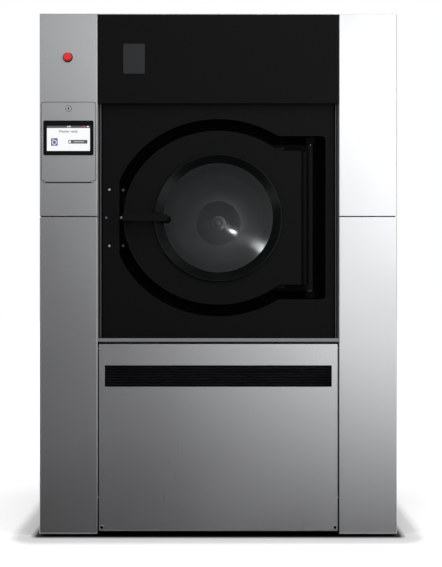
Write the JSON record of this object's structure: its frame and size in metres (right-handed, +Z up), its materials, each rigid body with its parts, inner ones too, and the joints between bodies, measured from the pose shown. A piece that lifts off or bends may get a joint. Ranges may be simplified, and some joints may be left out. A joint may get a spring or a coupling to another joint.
{
  "type": "washer-extractor",
  "caption": "Soft-mount front-loading washer-extractor with a stainless cabinet, round glass door, lever handle, fold-down touchscreen door and a belt-driven drum.",
  "frame": {"origin": "on the floor, at the centre of the four anchor holes, midway between the cabinet's sides and between its front and rear faces", "axes": "+X to the right of someone facing the door, -Y out of the front, +Z up"},
  "size_m": [1.28, 1.49, 1.87],
  "materials": {
    "stainless_skin": "fine vertical brushed stainless sheet",
    "stainless_drum": "spun and polished stainless sheet",
    "stainless_tub": "plain mill-finish stainless sheet",
    "black_coat": "satin black powder coat",
    "frame_coat": "grey machine enamel on welded steel",
    "steel_shaft": "ground steel",
    "zinc_steel": "bright zinc-plated steel",
    "iron_casting": "grey painted iron casting",
    "motor_coat": "blue-grey motor enamel",
    "alloy_body": "plain die-cast aluminium",
    "brass_valve": "machined brass",
    "window_ring": "polished black window ring",
    "window_glass": "clear borosilicate bowl",
    "black_rubber": "moulded black rubber",
    "belt_rubber": "woven-backed rubber belt",
    "black_plastic": "textured black plastic",
    "grey_plastic": "light grey enclosure plastic",
    "dark_badge": "satin dark grey plate, bare",
    "red_plastic": "red push-button plastic",
    "screen": "lit touchscreen front on a black display case"
  },
  "bodies": {
    "cabinet": {"anchor_feet": "frame_coat", "base_frame": "frame_coat", "upper_frame": "frame_coat", "left_lower_column": "stainless_skin", "right_lower_column": "stainless_skin", "left_upper_column": "stainless_skin", "right_upper_column": "stainless_skin", "left_side_panel": "stainless_skin", "right_side_panel": "stainless_skin", "top_panel": "stainless_skin", "rear_panel": "stainless_skin", "top_front_cover": "black_coat", "bottom_front_panel": "stainless_skin", "front_door_panel": "black_coat", "door_panel_trims": "stainless_skin", "vent_grille": "black_plastic", "front_fasteners": "zinc_steel", "badge_plate": "dark_badge", "air_springs": "black_rubber", "damper_bodies": "black_coat", "drain_pipe": "grey_plastic", "estop_base": "black_plastic", "control_box": "zinc_steel", "inlet_valves": "brass_valve", "isolator_box": "grey_plastic", "cable_gland": "black_plastic", "inverter_drive": "alloy_body"},
    "tub": {"tub_cradle": "frame_coat", "damper_rods": "steel_shaft", "tub_shell": "stainless_tub", "tub_front": "black_coat", "door_seal": "black_rubber", "bearing_housing": "iron_casting", "drum_bearings": "steel_shaft", "drive_belt": "belt_rubber", "motor_body": "motor_coat", "drain_valve": "black_plastic", "hinge_pin": "steel_shaft", "hinge_brackets": "black_coat", "latch_keeper": "black_coat"},
    "drum": {"drum_shell": "stainless_drum", "drum_back": "stainless_drum", "drum_shaft": "steel_shaft", "drum_lifters": "stainless_drum", "drum_pulley": "iron_casting"},
    "rotor": {"motor_pulley": "iron_casting", "motor_shaft": "steel_shaft"},
    "door": {"door_plate": "black_coat", "glass_ring": "window_ring", "door_glass": "window_glass", "hinge_tube": "black_coat", "handle_pivot": "black_coat"},
    "handle": {"door_handle": "black_coat"},
    "control_door": {"control_door": "stainless_skin", "display_bezel": "black_plastic", "touchscreen": "screen"},
    "lock": {"cam_lock": "zinc_steel"},
    "estop_stem": {"estop_stem": "black_plastic"},
    "estop_head": {"estop_head": "red_plastic"},
    "isolator_knob": {"isolator_knob": "red_plastic"}
  },
  "joints": [
    {"name": "wash_group_float", "type": "slide", "parent": "cabinet", "child": "tub", "axis": [0, 0, 1], "range_m": [-0.02, 0.015], "stiffness_N_per_m": 300000, "springref_m": 0.0288, "deforming": ["air_springs"]},
    {"name": "drum_spin", "type": "hinge", "parent": "tub", "child": "drum", "pos_m": [0, 0, 1.14], "axis": [0, 1, 0], "continuous": true},
    {"name": "motor_spin", "type": "hinge", "parent": "tub", "child": "rotor", "pos_m": [0, 0, 0.421], "axis": [0, 1, 0], "continuous": true},
    {"name": "door_swing", "type": "hinge", "parent": "tub", "child": "door", "pos_m": [0.33, -0.628, 1.14], "axis": [0, 0, 1], "range_deg": [0, 130]},
    {"name": "handle_pull", "type": "hinge", "parent": "door", "child": "handle", "pos_m": [-0.323, -0.67, 1.14], "axis": [0, 0, -1], "range_deg": [0, 40], "stiffness_Nm_per_rad": 1.5},
    {"name": "control_door_fold", "type": "hinge", "parent": "cabinet", "child": "control_door", "pos_m": [-0.536, -0.676, 1.2685], "axis": [1, 0, 0], "range_deg": [0, 90]},
    {"name": "lock_turn", "type": "hinge", "parent": "control_door", "child": "lock", "pos_m": [-0.536, -0.676, 1.5305], "axis": [0, -1, 0], "range_deg": [0, 90]},
    {"name": "estop_push", "type": "slide", "parent": "cabinet", "child": "estop_stem", "axis": [0, 1, 0], "range_m": [0, 0.006], "stiffness_N_per_m": 800},
    {"name": "estop_twist", "type": "hinge", "parent": "estop_stem", "child": "estop_head", "pos_m": [-0.539, -0.7, 1.714], "axis": [0, 1, 0], "range_deg": [0, 45], "stiffness_Nm_per_rad": 0.05},
    {"name": "isolator_turn", "type": "hinge", "parent": "cabinet", "child": "isolator_knob", "pos_m": [-0.43, 0.76, 1.52], "axis": [0, 1, 0], "range_deg": [0, 90]}
  ],
  "couplings": [
    {"joint": "motor_spin", "follows": "drum_spin", "ratio": 4.4}
  ]
}
